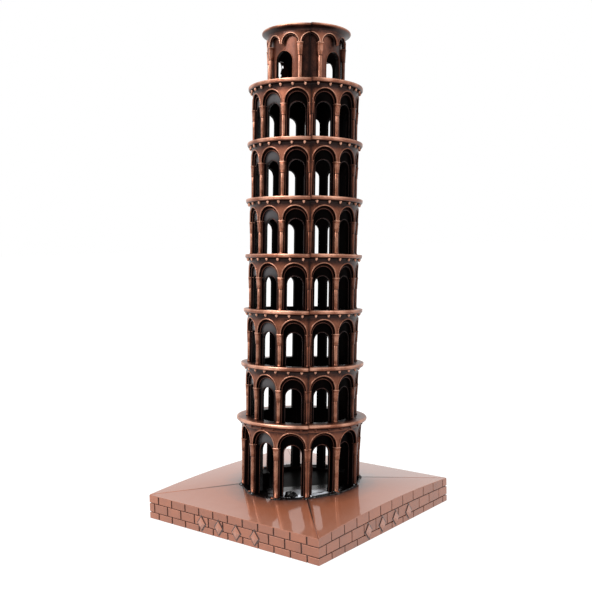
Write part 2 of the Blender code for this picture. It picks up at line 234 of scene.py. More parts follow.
def frame_points(half_angle, bottom, top, spring):
    """Points round the bay's edge as (angle, height), one for each point of arch_points."""
    side_steps = ARC_STEPS // 6
    arc = []
    for step in range(ARC_STEPS + 1):
        mirrored = min(step, ARC_STEPS - step)
        if mirrored <= side_steps:
            side = -half_angle if step <= ARC_STEPS / 2 else half_angle
            arc.append((side, lerp(max(spring, bottom), top, mirrored / side_steps)))
        else:
            share = (step - side_steps) / (ARC_STEPS - 2 * side_steps)
            arc.append((lerp(-half_angle, half_angle, share), top))
    return with_jambs(arc, bottom, spring)


def patina_and_shade_under_cornice(height, top, wear_and_painted_light):
    """Patina with painted shade under the cornice: the outer face darkens over its last millimetres."""
    return wear_and_painted_light * lerp(0.42, 1.0, smooth((top - height) / (1.9 * MM)))


def arched_wall(casting, centre, half_angle, inner, outer, bottom, top, half_width, crown, wears, caps,
                material=None):
    """One bay of a curved wall with an arched opening.

    wears are for the outer face, the opening's front edge, its back edge and the inner face.
    caps says whether the bay's left and right sides are ends of the shell.
    material is for the outer face and the opening's edge.
    """
    face_wear, edge_wear, back_edge_wear, inner_wear = wears
    across_steps = 4
    opening = arch_points(half_width, bottom, crown)
    border = frame_points(half_angle, bottom, top, crown - half_width)
    front, back = [], []
    for (across, height), (edge_angle, edge_height) in zip(opening, border):
        front_row, back_row = [], []
        for step in range(across_steps + 1):
            share = step / across_steps
            z = lerp(height, edge_height, share)
            for row, radius in ((front_row, outer), (back_row, inner)):
                angle = centre + lerp(across / radius, edge_angle, share)
                row.append(casting.vertex(polar(radius, angle, z)))
        front.append(front_row)
        back.append(back_row)
    last = len(front) - 1
    for index in range(last):
        for step in range(across_steps):
            corners = (front[index][step], front[index + 1][step],
                       front[index + 1][step + 1], front[index][step + 1])
            casting.face(corners, [patina_and_shade_under_cornice(corner.co.z, top, face_wear) for corner in corners], material)
            casting.even_face((back[index][step], back[index][step + 1],
                               back[index + 1][step + 1], back[index + 1][step]), inner_wear)
        casting.face((front[index][0], back[index][0], back[index + 1][0], front[index + 1][0]),
                     (edge_wear, back_edge_wear, back_edge_wear, edge_wear), material)
        edge_from, edge_to = border[index], border[index + 1]
        on_left = edge_from[0] == edge_to[0] == -half_angle
        on_right = edge_from[0] == edge_to[0] == half_angle
        if (on_left and not caps[0]) or (on_right and not caps[1]):
            continue
        casting.even_face((front[index][-1], front[index + 1][-1], back[index + 1][-1], back[index][-1]), SHADED)
    for index in (0, last):
        for step in range(across_steps):
            casting.even_face((front[index][step], front[index][step + 1],
                               back[index][step + 1], back[index][step]), SHADED)


def plain_wall(casting, start, end, inner, outer, bottom, top):
    """A curved wall with no opening, capped where it ends."""
    steps = max(2, round(degrees(end - start) / 3.0))
    loops = []
    for step in range(steps + 1):
        angle = lerp(start, end, step / steps)
        corners = ((outer, bottom), (outer, top), (inner, top), (inner, bottom))
        loops.append([casting.vertex(polar(radius, angle, z)) for radius, z in corners])
    for _, index, corners in quads(loops):
        casting.even_face(corners, INSIDE if index == 2 else SHADED)
    for loop in (loops[0], loops[-1]):
        casting.even_face(loop, SHADED)


def archivolt(casting, centre, radius, spring_height, foot, face_radius, width, proud, wear_and_painted_light):
    """Raised moulding round an arch: a small rounded section swept from foot to foot."""
    sunk = -0.12 * MM
    turns = [pi * step / 6 for step in range(7)]
    section = [(0.5 * width * (1 - cos(turn)), proud * sin(turn) ** 0.7) for turn in turns]
    section = [(0.0, sunk)] + section + [(width, sunk)]
    steps = 22
    path = [(pi * step / steps, None) for step in range(steps + 1)]
    if foot < spring_height:
        path = [(0.0, foot)] + path + [(pi, foot)]
    loops = []
    for angle, height in path:
        loop = []
        for out, lift in section:
            reach = radius + out
            across = reach * cos(angle)
            z = spring_height + reach * sin(angle) if height is None else height
            loop.append(casting.vertex(polar(face_radius + lift, centre + across / face_radius, z)))
        loops.append(loop)
    for _, index, corners in quads(loops):
        casting.even_face(corners, RECESS if index == len(section) - 1 else wear_and_painted_light)
    casting.even_face(loops[0], wear_and_painted_light)
    casting.even_face(loops[-1], wear_and_painted_light)


def superellipse(half_across, half_deep, power, count=16):
    """Points round a section that goes from an ellipse (power 2) towards a rectangle (power 8)."""
    points = []
    for index in range(count):
        angle = tau * (index + 0.5) / count
        c, s = cos(angle), sin(angle)
        across = half_across * copysign(abs(c) ** (2 / power), c)
        deep = half_deep * copysign(abs(s) ** (2 / power), s)
        points.append((across, deep))
    return points


def column_sections(foot, neck, springing, slim):
    """Sections of a column: (height, half width, half depth, squareness, wear)."""
    shaft_foot, shaft_head = 0.64 * slim, 0.72 * slim
    capital_foot, capital_head = 0.84 * slim, 0.98 * slim
    abacus = 1.1 * slim
    return [
        (foot, 0.78 * slim, 0.8, 6, SHADED),
        (foot + 0.3 * MM, 0.78 * slim, 0.8, 6, FACE),
        (foot + 0.45 * MM, 0.7 * slim, 0.74, 3, FACE),
        (foot + 0.85 * MM, shaft_foot, 0.66, 2.4, FACE),
        (lerp(foot, neck, 0.35), lerp(shaft_foot, shaft_head, 0.35), 0.69, 2.3, RAISED),
        (lerp(foot, neck, 0.65), lerp(shaft_foot, shaft_head, 0.65), 0.71, 2.3, RAISED),
        (neck - 0.35 * MM, shaft_head, 0.72, 2.3, RAISED),
        (neck - 0.3 * MM, shaft_head - 0.03, 0.7, 2.3, SHADED),
        (neck - 0.18 * MM, capital_foot + 0.02, 0.82, 3, SHADED),
        (neck, capital_foot + 0.04, 0.84, 3, RAISED),
        (neck + 0.12 * MM, capital_foot - 0.02, 0.8, 3.5, FACE),
        (lerp(neck, springing, 0.35), lerp(capital_foot, capital_head, 0.3), 0.86, 4, RAISED),
        (lerp(neck, springing, 0.7), lerp(capital_foot, capital_head, 0.7), 0.92, 5, RAISED),
        (springing - 0.42 * MM, capital_head, 0.95, 6, FACE),
        (springing - 0.38 * MM, capital_head - 0.04, 0.93, 6, SHADED),
        (springing - 0.32 * MM, abacus - 0.04, 1.0, 8, FACE),
        (springing - 0.26 * MM, abacus, 1.04, 8, RUBBED),
        (springing - 0.06 * MM, abacus, 1.04, 8, RUBBED),
        (springing, abacus - 0.06, 1.0, 8, RUBBED),
    ]


def column(casting, angle, centre_radius, sections, half=0):
    """A column at an angle round the tower. half is -1 or 1 for the side that is left of a split one."""
    local = Casting()
    loops = []
    radial, across_way = polar(1.0, angle, 0.0), sideways(angle)
    for height, half_across, half_deep, power, _ in sections:
        points = [radial * (centre_radius + deep) + across_way * across
                  for across, deep in superellipse(half_across * MM, half_deep * MM, power)]
        loops.append([local.vertex((point.x, point.y, height)) for point in points])
    local.rings(loops, [section[-1] for section in sections])
    local.even_face(list(reversed(loops[0])), SHADED)
    local.even_face(loops[-1], RUBBED)
    if half:
        cut_at_seam(local, radial * centre_radius, across_way * half)
    copy_into(casting, local)


def cut_at_seam(casting, point, way):
    """Remove what lies on the near side of a plane and close the cut."""
    geometry = casting.bm.verts[:] + casting.bm.edges[:] + casting.bm.faces[:]
    cut = bmesh.ops.bisect_plane(casting.bm, geom=geometry, plane_co=point, plane_no=way, clear_inner=True)
    edges = [item for item in cut["geom_cut"] if isinstance(item, bmesh.types.BMEdge)]
    made = bmesh.ops.edgeloop_fill(casting.bm, edges=edges)
    for loop in (loop for face in made["faces"] for loop in face.loops):
        loop[casting.wear_and_painted_light] = RECESS


def copy_into(casting, other):
    """Move every face of one casting into another and close the first."""
    other.bm.verts.index_update()
    new = [casting.vertex(v.co) for v in other.bm.verts]
    for face in other.bm.faces:
        casting.face([new[v.index] for v in face.verts], [loop[other.wear_and_painted_light] for loop in face.loops],
                     face.material_index)
    other.bm.free()


def thicken_into(casting, sheet, thickness):
    """Give a sheet of faces its thickness and move it into a casting."""
    sheet.bm.normal_update()
    bmesh.ops.solidify(sheet.bm, geom=sheet.bm.faces[:], thickness=thickness)
    copy_into(casting, sheet)


CORNICES = {
    # share of the way in from the rim to the wall's face, further out (mm), below the top (mm), wear; the dark rows
    # under the rim are patina with painted shade
    "ground": (
        (0, -0.6, 0, RAISED), (0, -0.25, 0.06, RUBBED), (0, -0.05, 0.28, RUBBED), (0, 0, 0.6, RUBBED),
        (0, -0.04, 0.95, RAISED), (0, -0.18, 1.2, FACE), (0, -0.42, 1.38, DULL), (0, -0.7, 1.46, SHADED),
        (1, 0.5, 1.6, PATINA_AND_SHADE_UNDER_RIM), (1, 0.15, 1.8, PATINA_AND_SHADE_UNDER_RIM), (1, 0, 2.1, SHADED), (1, 0, 2.6, DULL), (1, 0, 2.9, FACE),
    ),
    "gallery": (
        (0, -0.3, 0, RAISED), (0, -0.08, 0.06, RUBBED), (0, 0, 0.2, RUBBED), (0, 0, 0.5, RUBBED),
        (0, -0.02, 0.6, RAISED), (0, -0.05, 0.68, RAISED), (0, -0.05, 0.74, RAISED), (0, -0.02, 0.82, RAISED),
        (0, -0.03, 1.05, RAISED), (0, -0.14, 1.22, FACE), (0, -0.3, 1.3, DULL), (0, -0.3, 1.42, SHADED),
        (0, -0.5, 1.5, RECESS), (1, 0.5, 1.6, RECESS), (1, 0.15, 1.8, RECESS), (1, 0, 2.1, 0.14),
        (1, 0, 2.6, PATINA_AND_SHADE_UNDER_RIM), (1, 0, 2.9, SHADED),
    ),
    "belfry": (
        (0, -0.35, 0, RAISED), (0, -0.08, 0.05, RUBBED), (0, 0, 0.2, RUBBED), (0, 0, 0.5, RAISED),
        (0, -0.08, 0.65, FACE), (0, -0.25, 0.8, DULL), (0, -0.5, 0.95, SHADED), (0.55, 0, 1.2, 0.2),
        (0.85, 0, 1.6, 0.2), (1, 0.04, 2.0, SHADED), (1, 0, 2.2, DULL),
    ),
}


def cornice_profile(top, rim, face, inner, kind, terrace=None):
    """Section of a cornice as (radius, height, wear), down its outside and up its inside.

    terrace is the inner radius of the floor ring that carries the belfry.
    """
    outer = [(lerp(rim, face, share) + out * MM, top - drop * MM, wear_and_painted_light) for share, out, drop, wear_and_painted_light in CORNICES[kind]]
    bottom = outer[-1][1] - 0.1 * MM
    below = [(face - 0.05 * MM, bottom, FACE), (inner, bottom, INSIDE)]
    if terrace:
        ledge = top - TERRACE_HEIGHT
        return outer + below + [(inner, ledge, INSIDE), (terrace, ledge, INSIDE), (terrace, top, INSIDE)]
    return outer + below + [(inner, top, INSIDE)]


def patchy(place, wear_and_painted_light):
    """Wear that varies from place to place; bare and black surfaces both keep their character."""
    return clamp(wear_and_painted_light + 0.3 * wear_and_painted_light * noise.noise(place * 210.0))


def turned_half(casting, profile, start):
    """Turn a closed section through half a turn, with its two ends capped."""
    steps = 60
    loops = []
    for step in [0, 0.35] + list(range(1, steps)) + [steps - 0.35, steps]:
        angle = start + pi * step / steps
        loops.append([casting.vertex(polar(radius, angle, z)) for radius, z, _ in profile])
    for _, index, corners in quads(loops):
        low, high = profile[index][2], profile[(index + 1) % len(profile)][2]
        wears = [patchy(corner.co, wear_and_painted_light) for corner, wear_and_painted_light in zip(corners, (low, high, high, low))]
        casting.face(corners, wears, int(max(low, high) <= DEAD_BLACK))
    casting.even_face(list(reversed(loops[0])), SHADED)
    casting.even_face(loops[-1], SHADED)


def bead(casting, centre, radius, tall, wear_and_painted_light=RAISED):
    """A small corbel, taller than wide and drawn in towards its lower end."""
    loops = []
    rows = 6
    for row in range(1, rows):
        angle = pi * row / rows
        ring = radius * sin(angle) ** 0.8 * (1.0 + 0.4 * cos(angle))
        loops.append(casting.circle(centre, ring, centre.z + radius * tall * cos(angle), 8))
    casting.rings(loops, [wear_and_painted_light] * len(loops))
    casting.fan(list(reversed(loops[0])), centre + Vector((0, 0, radius * tall)), wear_and_painted_light)
    casting.fan(loops[-1], centre - Vector((0, 0, radius * tall)), wear_and_painted_light)


def corbels(casting, top, face, start, wear_and_painted_light):
    """Small corbels under a cornice; the seam passes midway between two of them."""
    for index in range(CORBELS // 2):
        angle = start + tau * (index + 0.5) / CORBELS
        bead(casting, polar(face + 0.5 * MM, angle, top - 1.95 * MM), 0.5 * MM, 1.3, wear_and_painted_light)


def storey_numbers(ground, top, face):
    """Heights and widths of a storey's arches."""
    across = face * HALF_BAY
    numbers = {
        "outer_crown": top - (3.0 if ground else 3.2) * MM,
        "springing": top - (8.7 if ground else 8.5) * MM,
        "neck": top - (13.0 if ground else 12.4) * MM,
        "outer_half": across - 0.5 * MM,
        "second_depth": (1.0 if ground else 0.8) * MM,
        "wall_depth": (2.4 if ground else 1.5) * MM,
        "wall": (1.7 if ground else 1.2) * MM,
        "window_half": (3.35 if ground else 3.0) * MM,
        "window_crown": top - (7.7 if ground else 7.8) * MM,
    }
    numbers["second_half"] = numbers["outer_half"] - 0.9 * MM
    numbers["second_crown"] = numbers["outer_crown"] - (0.9 if ground else 1.2) * MM
    return numbers


def ends(bay):
    """Whether a bay's left and right sides lie on the seam."""
    return (bay == 0, bay == BAYS // 2 - 1)


def gallery_half(casting, name, bottom, top, rim, face, start):
    """Ground arcade or gallery: six bays from the seam, with columns between them."""
    ground = name == "ground_arcade"
    n = storey_numbers(ground, top, face)
    wall_face = face - n["wall_depth"]
    second_face = face - n["second_depth"]
    under = top - CORNICE_DEPTH
    inner = wall_face - n["wall"]
    terrace = BELFRY_WELL if name == "gallery_6" else None
    turned_half(casting, cornice_profile(top, rim, face, inner, "ground" if ground else "gallery", terrace), start)
    # the ground arcade's corbels are dimmer: patina with painted shade
    corbels(casting, top, face, start, PATINA_AND_SHADE if ground else RUBBED)
    foot = n["springing"] - 0.02 * MM
    for bay in range(BAYS // 2):
        centre = start + HALF_BAY * (2 * bay + 1)
        # the window walls on the painted sheen side take the lacquer material, which carries the painted sheen
        sheen_material = LACQUER_AND_SHEEN if cos(centre - PAINTED_SHEEN_SIDE) > 0.8 else None
        # layer, its back, front, foot, wears and material; its moulding's inset, width, relief (mm) and wear
        for layer, back, front, low, wears, material, inset, width, proud, wear_and_painted_light in (
            ("outer", second_face - 0.1 * MM, face, foot, (FACE, SHADED, RECESS, RECESS), None,
             0.28, 0.42, 0.2, RAISED),
            ("second", wall_face - 0.05 * MM, second_face, bottom, (DEAD_BLACK, RECESS, RECESS, INSIDE), None,
             0.12, 0.3, 0.14, 0.36),
            ("window", inner, wall_face, bottom, [INSIDE] * 4, sheen_material, 0.1, 0.3, 0.14, 0.34 if ground else 0.2),
        ):
            half_width, crown = n[layer + "_half"], n[layer + "_crown"]
            arched_wall(casting, centre, HALF_BAY, back, front, low, under, half_width, crown, wears, ends(bay),
                        material)
            lip = half_width - inset * MM
            archivolt(casting, centre, lip, crown - lip - width * MM / 2, low, front, width * MM, proud * MM, wear_and_painted_light)
    paint_lacquer_sheen(casting, n["window_crown"])
    sections = column_sections(bottom, n["neck"], n["springing"], 1.1 if ground else 1.0)
    if ground:
        sections = [section for section in sections if not bottom < section[0] < bottom + 0.8 * MM]
    for index in range(BAYS // 2 + 1):
        half = 1 if index == 0 else -1 if index == BAYS // 2 else 0
        column(casting, start + 2 * HALF_BAY * index, face - COLUMN_DEPTH, sections, half)


def side_share(place, direction, low, high):
    """1 on the side of the tower that faces a direction, falling smoothly to 0 round it."""
    toward = (place.x * cos(direction) + place.y * sin(direction)) / hypot(place.x, place.y)
    return smooth((toward - low) / (high - low))


def paint_lacquer_sheen(casting, window_crown):
    """Painted sheen: the lacquer over the windows is greyer on one side of the tower."""
    for face, corner, place in casting.corners():
        if face.material_index == LACQUER_AND_SHEEN:
            height = clamp((place.z - window_crown) / (2.7 * MM) + 0.55)
            corner[casting.wear_and_painted_light] += 0.12 * height * side_share(place, PAINTED_SHEEN_SIDE, 0.66, 0.97)


def belfry_half(casting, bottom, top, rim, face, start):
    """Belfry: a plain bay on each quarter, and double bays whose arches meet on a pendant between them."""
    crown, springing, neck = top - 2.8 * MM, top - 6.3 * MM, top - 10.7 * MM
    under = top - 2.1 * MM
    wall_face = face - 1.5 * MM
    inner = BELFRY_WELL
    outer_half = face * HALF_BAY - 0.35 * MM
    turned_half(casting, cornice_profile(top, rim, face, inner, "belfry"), start)
    screen_back = face - 0.9 * MM
    screen_foot = springing - 0.02 * MM
    for bay in range(-1, BAYS // 2):
        # bays are centred on the seam here, so the first and the last are split
        centre = start + 2 * HALF_BAY * (bay + 1)
        local = Casting()
        arched_wall(local, centre, HALF_BAY, screen_back, face, screen_foot, under, outer_half, crown,
                    (FACE, SHADED, RECESS, RECESS), (False, False))
        for inset, drop, radius, width, proud, wear_and_painted_light in (
            (0.2 * MM, 0.18 * MM, face, 0.34 * MM, 0.18 * MM, RUBBED),
            (0.75 * MM, 0.7 * MM, screen_back + 0.35 * MM, 0.3 * MM, 0.15 * MM, SHADED),
        ):
            lip = outer_half - inset
            archivolt(local, centre, lip, crown - lip - drop, screen_foot, radius, width, proud, wear_and_painted_light)
        if bay in (-1, BAYS // 2 - 1):
            cut_at_seam(local, (0, 0, 0), sideways(centre) * (1 if bay < 0 else -1))
        copy_into(casting, local)
    quarter = pi / 2
    for middle, before, after in ((start, 0, 1), (start + pi, 1, 0), (start + quarter, 1, 1)):
        plain_wall(casting, middle - before * HALF_BAY, middle + after * HALF_BAY, inner, wall_face, bottom, under)
    for turn in (0.5, 1.5):
        centre = start + quarter * turn
        window_half, window_crown = 4.0 * MM, top - 8.4 * MM
        arched_wall(casting, centre, 2 * HALF_BAY, inner, wall_face, bottom, under, window_half, window_crown,
                    (DULL, SHADED, INSIDE, INSIDE), (True, True))
        archivolt(casting, centre, window_half - 0.1 * MM, window_crown - window_half - 0.1 * MM, bottom,
                  wall_face, 0.3 * MM, 0.16 * MM, FACE)
        if start > 0 and turn == 0.5:
            casting_flash(casting, centre, wall_face - 0.8 * MM, window_half, bottom, window_crown)
        pendant = polar(face - 0.4 * MM, centre, springing - 0.05 * MM)
        bead(casting, pendant, 0.42 * MM, 1.0)
    sections = column_sections(bottom, neck, springing, 1.05)
    for share in (0.5, 2.5, 3.5, 5.5):
        column(casting, start + 2 * HALF_BAY * share, face - COLUMN_DEPTH, sections)


def casting_flash(casting, centre, radius, half_width, bottom, crown):
    """Ragged skin of metal left across a window by the casting, open along one side and at a few spots."""
    across_steps, up_steps = 40, 60
    spring = crown - half_width

    def point(column, row):
        across = lerp(-half_width, half_width, column / across_steps)
        z = lerp(bottom, crown, row / up_steps)
        ripple = 0.12 * MM * noise.noise(Vector((column * 0.3, row * 0.3, 2.0)))
        return across, z, polar(radius + ripple, centre + across / radius, z)

    skin = Casting()
    corners = {}
    for column in range(across_steps):
        for row in range(up_steps):
            across, z, _ = point(column + 0.5, row + 0.5)
            outside = z > spring and hypot(across, z - spring) > half_width
            ragged = noise.noise(Vector((column * 0.12, row * 0.16, 7.0)))
            open_side = across > half_width * (0.06 + 0.5 * ragged)
            hole = hypot(across + 0.9 * MM, z - crown + 1.9 * MM) < 0.5 * MM
            if outside or open_side or hole:
                continue
            places = ((column, row), (column + 1, row), (column + 1, row + 1), (column, row + 1))
            for place in places:
                if place not in corners:
                    corners[place] = skin.vertex(point(*place)[2])
            skin.even_face([corners[place] for place in places], RECESS)
    thicken_into(casting, skin, 0.15 * MM)


def ground_extras(casting, start, matrix):
    """Screw boss inside the foot, and the lacquer that has pooled round the columns' feet."""
    centre = polar(15.0 * MM, start + pi / 2, 0.0)
    loops = [casting.circle(centre, radius * MM, z * MM, 24) for z, radius in ((9.5, 3.2), (14.6, 3.2), (15.0, 2.8))]
    casting.rings(loops, [INSIDE] * 3)
    casting.even_face(list(reversed(loops[0])), INSIDE)
    casting.even_face(loops[-1], INSIDE)
    lacquer_pools(casting, start, matrix)


def lump(casting, inverse, centre, half_sizes, wear_and_painted_light, material, smoothness=2):
    """An irregular rounded lump, given in world coordinates."""
    shape = bmesh.new()
    bmesh.ops.create_icosphere(shape, subdivisions=smoothness, radius=1.0)
    new = []
    for vertex in shape.verts:
        swell = 1.0 + 0.35 * noise.noise(vertex.co * 1.7 + centre * 900.0)
        offset = Vector([c * h * swell for c, h in zip(vertex.co, half_sizes)])
        new.append(casting.vertex(inverse @ (centre + offset)))
    for face in shape.faces:
        casting.face([new[v.index] for v in face.verts], [wear_and_painted_light] * 3, material)
    shape.free()


def near_column(angle, start):
    """1 at a column's foot, falling to 0 between the columns."""
    offset = (angle - start) % (2 * HALF_BAY)
    return exp(-(min(offset, 2 * HALF_BAY - offset) / 0.06) ** 2)


def lacquer_line(casting, start, inverse, middle):
    """Irregular bead of black lacquer that runs along the foot from one end of the half shell to the other."""
    steps, around = 260, 7
    loops = []
    for step in range(steps + 1):
        angle = start + pi * lerp(0.002, 0.998, step / steps)
        rough = noise.noise(Vector((angle * 19.0, 0.0, 3.0))) + 0.7 * noise.noise(Vector((angle * 51.0, 5.0, 0.0)))
        size = (0.3 + 0.2 * rough + 0.3 * near_column(angle, start)) * MM
        reach = (21.9 + 0.45 * near_column(angle, start)) * MM + 0.25 * MM * rough
        loop = []
        for index in range(around):
            turn = pi * index / (around - 1)
            place = middle + polar(reach - size * 1.3 * cos(turn), angle, 0.0)
            place.z = hip_height(place.x, place.y) + 0.02 * MM + size * sin(turn)
            loop.append(casting.vertex(inverse @ place))
        loops.append(loop)
    for _, _, corners in quads(loops):
        casting.face(corners, [INSIDE] * 4, LACQUER_AND_SHEEN)
    for loop in (loops[0], loops[-1]):
        casting.face(loop, [INSIDE] * around, LACQUER_AND_SHEEN)


def lacquer_pools(casting, start, matrix):
    """Lacquer along the foot, lumpy round the columns, with one hump in a doorway."""
    inverse = matrix.inverted()
    middle = seat_centre()
    lacquer_line(casting, start, inverse, middle)
    dice = random.Random(round(start * 100))
    looks = {"black": (INSIDE, LACQUER_AND_SHEEN), "copper": (FACE, 0), "pale": (PAINTED_GLINT, LACQUER_AND_SHEEN)}
    for index in range(BAYS // 2 + 1):
        column_angle = start + 2 * HALF_BAY * index
        for _ in range(18):
            angle = column_angle + dice.uniform(-0.075, 0.075)
            size = dice.uniform(0.25, 0.6) * MM
            reach = dice.uniform(21.7, 22.8) * MM
            if not start + 0.03 < angle < start + pi - 0.03:
                continue
            place = middle + polar(reach, angle, 0.0)
            kind = dice.choice(("black",) * 4 + ("copper", "pale"))
            place.z = hip_height(place.x, place.y) + (22.8 * MM - reach) * dice.uniform(0.2, 1.0)
            # the pale lumps are painted glints
            if kind == "pale":
                size *= 0.5
                place.z += 0.3 * MM
            lump(casting, inverse, place, (size, size, size * dice.uniform(0.6, 1.1)), *looks[kind])
    if start > 0:
        lump(casting, inverse, Vector((9.6 * MM, -16.9 * MM, 11.3 * MM)), (2.2 * MM, 2.0 * MM, 1.9 * MM),
             INSIDE, LACQUER_AND_SHEEN, smoothness=4)


def shade_seam(casting, start, cornice_foot, seam_darkening):
    """Patina and painted shade are left along the seam between the two half shells."""
    across_way = sideways(start)
    for _, corner, place in casting.corners():
        distance = abs(place.dot(across_way))
        reach = SEAM_SHADE * (1.0 if place.z < cornice_foot else 0.4)
        if distance < reach:
            corner[casting.wear_and_painted_light] *= lerp(seam_darkening, 1.0, (distance / reach) ** 0.7)


def paint_shade_on_one_side(casting, cornice_foot):
    """Painted shade: one side of the tower is darker than the rest, most of all under the cornices."""
    for face, corner, place in casting.corners():
        if face.material_index != LACQUER_AND_SHEEN:
            least = 0.6 if place.z < cornice_foot else 0.85
            corner[casting.wear_and_painted_light] *= lerp(1.0, least, side_share(place, PAINTED_SHADE_SIDE, 0.5, 0.95))


def storey_piece(name, side, bottom, top, rim, face, matrix):
    casting = Casting()
    start = SEAM_ANGLE if side == "right" else SEAM_ANGLE + pi
    if name == "belfry":
        belfry_half(casting, bottom, top, rim, face, start)
    else:
        gallery_half(casting, name, bottom, top, rim, face, start)
    if name == "ground_arcade":
        ground_extras(casting, start, matrix)
    casting.merge()
    cornice_foot = top - CORNICE_DEPTH
    shade_seam(casting, start, cornice_foot, 0.75 if name == "ground_arcade" else 0.45)
    paint_shade_on_one_side(casting, cornice_foot)
    away = polar(SEAM_SHIFT, start + pi / 2, -SEAM_STEP if side == "left" else 0.0)
    piece = casting.to_object(name + "_casting_" + side, matrix @ Matrix.Translation(away))
    if name == "ground_arcade":
        level_foot(piece)
    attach(piece, "root")
    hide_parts(name + "_" + side)
    return piece


def level_foot(piece):
    """Trim the ground arcade's foot to the plinth's sloping top, and its bosses to the floor inside."""
    middle = seat_centre()
    shape = bmesh.new()
    shape.from_mesh(piece.data)
    for vertex in shape.verts:
        point = vertex.co
        inside = hypot(point.x - middle.x, point.y - middle.y) < FLOOR_RADIUS + 0.1 * MM
        floor = SEAT_HEIGHT if inside else hip_height(point.x, point.y)
        point.z = max(point.z, floor + 0.02 * MM)
    bmesh.ops.dissolve_degenerate(shape, edges=shape.edges[:], dist=0.001 * MM)
    shape.to_mesh(piece.data)
    shape.free()


def dress(piece, materials):
    for material in materials:
        piece.data.materials.append(material)


def make_tower(materials):
    matrix = tower_matrix()
    bottom = 7.8 * MM
    for name, top, rim, face in STOREYS:
        for side in ("left", "right"):
            piece = storey_piece(name, side, bottom, top * MM, rim * MM, face * MM, matrix)
            dress(piece, materials)
        bottom = top * MM - 0.03 * MM


# ---------------- the plinth

def hip_height(x, y):
    """Height of the plinth's top: a low hipped roof, with the two eaves that cross X bowed upwards."""
    reach = max(abs(x), abs(y)) / PLINTH_HALF
    height = EAVE_HEIGHT + HIP_RISE * (1.0 - reach)
    if abs(x) > abs(y):
        height += EAVE_BOW * reach * (1.0 - (y / x) ** 2)
    return height


def side_point(side, along, out, z):
    """Point on one of the four sides, counted from -Y anticlockwise; along runs to the right as seen."""
    point = Vector((along, -out, z))
    return Matrix.Rotation(side * pi / 2, 4, "Z") @ point


def seat_centre():
    """Where the tower's axis meets the floor inside its foot."""
    return TOWER_FOOT + polar(SEAT_HEIGHT * tan(TOWER_LEAN), LEAN_HEADING, 0.0)


def top_rays():
    """Lines from the seat out to the eaves as (start, end, on_crease, beside_crease)."""
    middle = seat_centre()
    per_side = 32
    crease_half = 0.26 * MM
    rays = []
    for side in range(4):
        low = -pi * 3 / 4 + side * pi / 2
        corner = side_point(side, -PLINTH_HALF, PLINTH_HALF, 0.0)
        spots = [(0.0, "crease"), (crease_half * sqrt(2), "beside")]
        spots += [(2 * PLINTH_HALF * step / per_side, "open") for step in range(1, per_side)]
        spots += [(2 * PLINTH_HALF - crease_half * sqrt(2), "beside")]
        for distance, kind in spots:
            end = side_point(side, distance - PLINTH_HALF, PLINTH_HALF, 0.0)
            if kind == "beside":
                sign = 1.0 if distance < PLINTH_HALF else -1.0
                angle = low + (0 if sign > 0 else pi / 2) + sign * crease_half / FLOOR_RADIUS
            else:
                angle = atan2(end.y, end.x)
            begin = middle + polar(FLOOR_RADIUS, angle, 0.0)
            if kind == "crease" and (begin - corner).length > 2 * PLINTH_HALF:
                begin = middle
            rays.append((begin, end, kind))
    return rays


def plinth_top(casting):
    """The creased top, a round seat for the tower, the eave's thin edge and the underside's hollow."""
    rays = top_rays()
    groove = 0.28 * MM
    # distance from the floor's edge (mm) and value, the top getting darker towards the tower's foot; then shares of
    # the way that is left
    near_foot = ((0.0, INSIDE), (2.7, INSIDE), (4.1, RECESS), (4.7, 0.3), (5.3, 0.5), (6.8, 0.58), (11.0, 0.68))
    shares = [step / 11 for step in range(1, 11)] + [0.985, 1.0]
    rings = len(near_foot) + len(shares) - 1
    loops, wears = [], []
    for ring in range(rings + 1):
        loop, wear_and_painted_light = [], []
        for index, (begin, end, kind) in enumerate(rays):
            length = (end - begin).length
            if ring < len(near_foot):
                reach, worn = near_foot[ring]
                ragged = 0.5 * noise.noise(Vector((index * 0.9, ring * 0.3, 0.0)))
                distance = (reach + (ragged if 1 < ring < 6 else 0.0)) * MM
            else:
                share = shares[ring - len(near_foot)]
                distance = lerp(near_foot[-1][0] * MM, length, share)
                worn = lerp(0.7, 0.88, share) if share < 0.99 else 0.98
            point = begin + (end - begin).normalized() * distance
            out = distance / length
            z = hip_height(point.x, point.y)
            if kind == "crease":
                z -= groove
            elif 3 < ring < rings:
                z += 0.018 * MM * noise.noise(point * 260.0)
            loop.append(casting.vertex((point.x, point.y, z)))
            wear_and_painted_light.append({"crease": lerp(INSIDE, 0.6, min(out * 1.3, 1.0) ** 2) if ring < rings else 0.6,
                         "beside": min(lerp(0.25, RAISED, min(out * 1.5, 1.0)), worn),
                         "open": worn}[kind])
        loops.append(loop)
        wears.append(wear_and_painted_light)
    for (_, _, corners), (_, _, corner_wears) in zip(quads(loops), quads(wears)):
        casting.face(corners, corner_wears)
    middle = seat_centre()
    wall = [casting.vertex((v.co.x, v.co.y, SEAT_HEIGHT)) for v in loops[0]]
    casting.rings([wall, loops[0]], [INSIDE, RECESS])
    middle.z = SEAT_HEIGHT
    floor_loops = [wall]
    for share in (0.75, 0.5, 0.25):
        floor_loops.append([casting.vertex(middle.lerp(v.co, share)) for v in wall])
    casting.rings(floor_loops, [INSIDE] * 4)
    casting.fan(floor_loops[-1], middle, INSIDE)
    painted_reflection_pool(casting)
    eave(casting, loops[-1])


